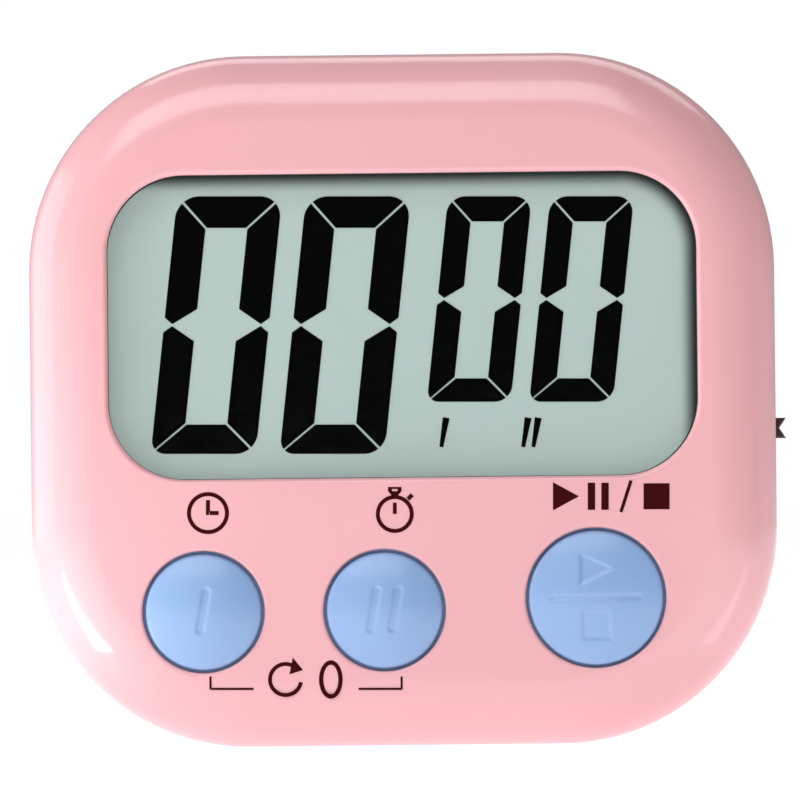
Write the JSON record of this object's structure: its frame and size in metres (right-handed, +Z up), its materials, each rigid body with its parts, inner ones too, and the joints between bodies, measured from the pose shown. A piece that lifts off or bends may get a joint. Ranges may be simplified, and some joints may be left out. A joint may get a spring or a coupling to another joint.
{
  "type": "kitchen timer",
  "caption": "Small digital countdown timer with very round corners, a recessed LCD, round push buttons, a side slide switch, a fold-out stand and magnets on its back.",
  "frame": {"origin": "middle of the flat bottom edge that the timer stands on, half-way through its depth", "axes": "+Z up; +X to the right seen from the front; the display and buttons face -Y"},
  "size_m": [0.067, 0.0182, 0.0612],
  "materials": {
    "pink_abs": "injection-moulded pale pink ABS, glossy",
    "blue_abs": "injection-moulded pale blue ABS, glossy",
    "clear_acrylic": "clear cast acrylic window",
    "polariser_film": "grey-green polarising film with an anti-glare surface",
    "display_glass": "float glass of the LCD cell",
    "black_elastomer": "striped conductive silicone",
    "board_laminate": "green glass-epoxy laminate with solder mask",
    "black_epoxy": "black epoxy potting",
    "silicone_rubber": "translucent grey silicone",
    "carbon_rubber": "carbon-loaded conductive rubber",
    "tinned_steel": "tinned sheet steel",
    "zinc_steel": "zinc-plated steel screw",
    "black_nylon": "black nylon",
    "maroon_abs": "very dark maroon ABS, satin",
    "brass": "brass piezo disc",
    "ceramic": "fired piezo and capacitor ceramic",
    "red_wire": "red PVC-insulated wire",
    "black_wire": "black PVC-insulated wire",
    "nickel_plate": "nickel-plated steel",
    "magnet_nickel": "nickel-plated magnet"
  },
  "bodies": {
    "case": {"front_housing": "pink_abs", "rear_housing": "pink_abs", "lcd_lens": "clear_acrylic", "lcd_front_polariser": "polariser_film", "lcd_front_glass": "display_glass", "lcd_rear_glass": "display_glass", "lcd_reflector": "polariser_film", "zebra_connector": "black_elastomer", "main_board": "board_laminate", "controller_blob": "black_epoxy", "clock_crystal": "nickel_plate", "buzzer_inductor": "black_epoxy", "buzzer_transistor": "black_epoxy", "reset_capacitor": "ceramic", "bias_resistor": "black_epoxy", "silicone_keypad": "silicone_rubber", "switch_frame": "tinned_steel", "switch_base": "black_nylon", "buzzer_disc": "brass", "buzzer_ceramic": "ceramic", "buzzer_lead_red": "red_wire", "buzzer_lead_black": "black_wire", "positive_contact": "nickel_plate", "negative_contact": "nickel_plate", "button_cell": "nickel_plate", "magnet_left": "magnet_nickel", "magnet_right": "magnet_nickel", "case_screw_1": "zinc_steel", "case_screw_2": "zinc_steel", "case_screw_3": "zinc_steel", "case_screw_4": "zinc_steel", "board_screw_1": "zinc_steel", "board_screw_2": "zinc_steel", "board_screw_3": "zinc_steel"},
    "minute_key": {"minute_button": "blue_abs", "minute_pill": "carbon_rubber"},
    "second_key": {"second_button": "blue_abs", "second_pill": "carbon_rubber"},
    "start_stop_key": {"start_stop_button": "blue_abs", "start_stop_pill": "carbon_rubber"},
    "switch_slider": {"switch_knob": "maroon_abs", "switch_actuator": "black_nylon"},
    "stand_leg": {"stand": "pink_abs"},
    "cell_door": {"battery_door": "pink_abs"}
  },
  "joints": [
    {"name": "minute_press", "type": "slide", "parent": "case", "child": "minute_key", "axis": [0, 1, 0], "range_m": [0, 0.0009], "stiffness_N_per_m": 1200, "deforming": ["silicone_keypad"]},
    {"name": "second_press", "type": "slide", "parent": "case", "child": "second_key", "axis": [0, 1, 0], "range_m": [0, 0.0009], "stiffness_N_per_m": 1200, "deforming": ["silicone_keypad"]},
    {"name": "start_stop_press", "type": "slide", "parent": "case", "child": "start_stop_key", "axis": [0, 1, 0], "range_m": [0, 0.0009], "stiffness_N_per_m": 1200, "deforming": ["silicone_keypad"]},
    {"name": "power_switch", "type": "slide", "parent": "case", "child": "switch_slider", "axis": [0, 0, -1], "range_m": [0, 0.002]},
    {"name": "stand_hinge", "type": "hinge", "parent": "case", "child": "stand_leg", "pos_m": [0, 0.0074, 0.037], "axis": [1, 0, 0], "range_deg": [0, 40]},
    {"name": "cell_door_turn", "type": "hinge", "parent": "case", "child": "cell_door", "pos_m": [-0.0202, 0.0085, 0.024], "axis": [0, 1, 0], "range_deg": [0, 45]}
  ]
}
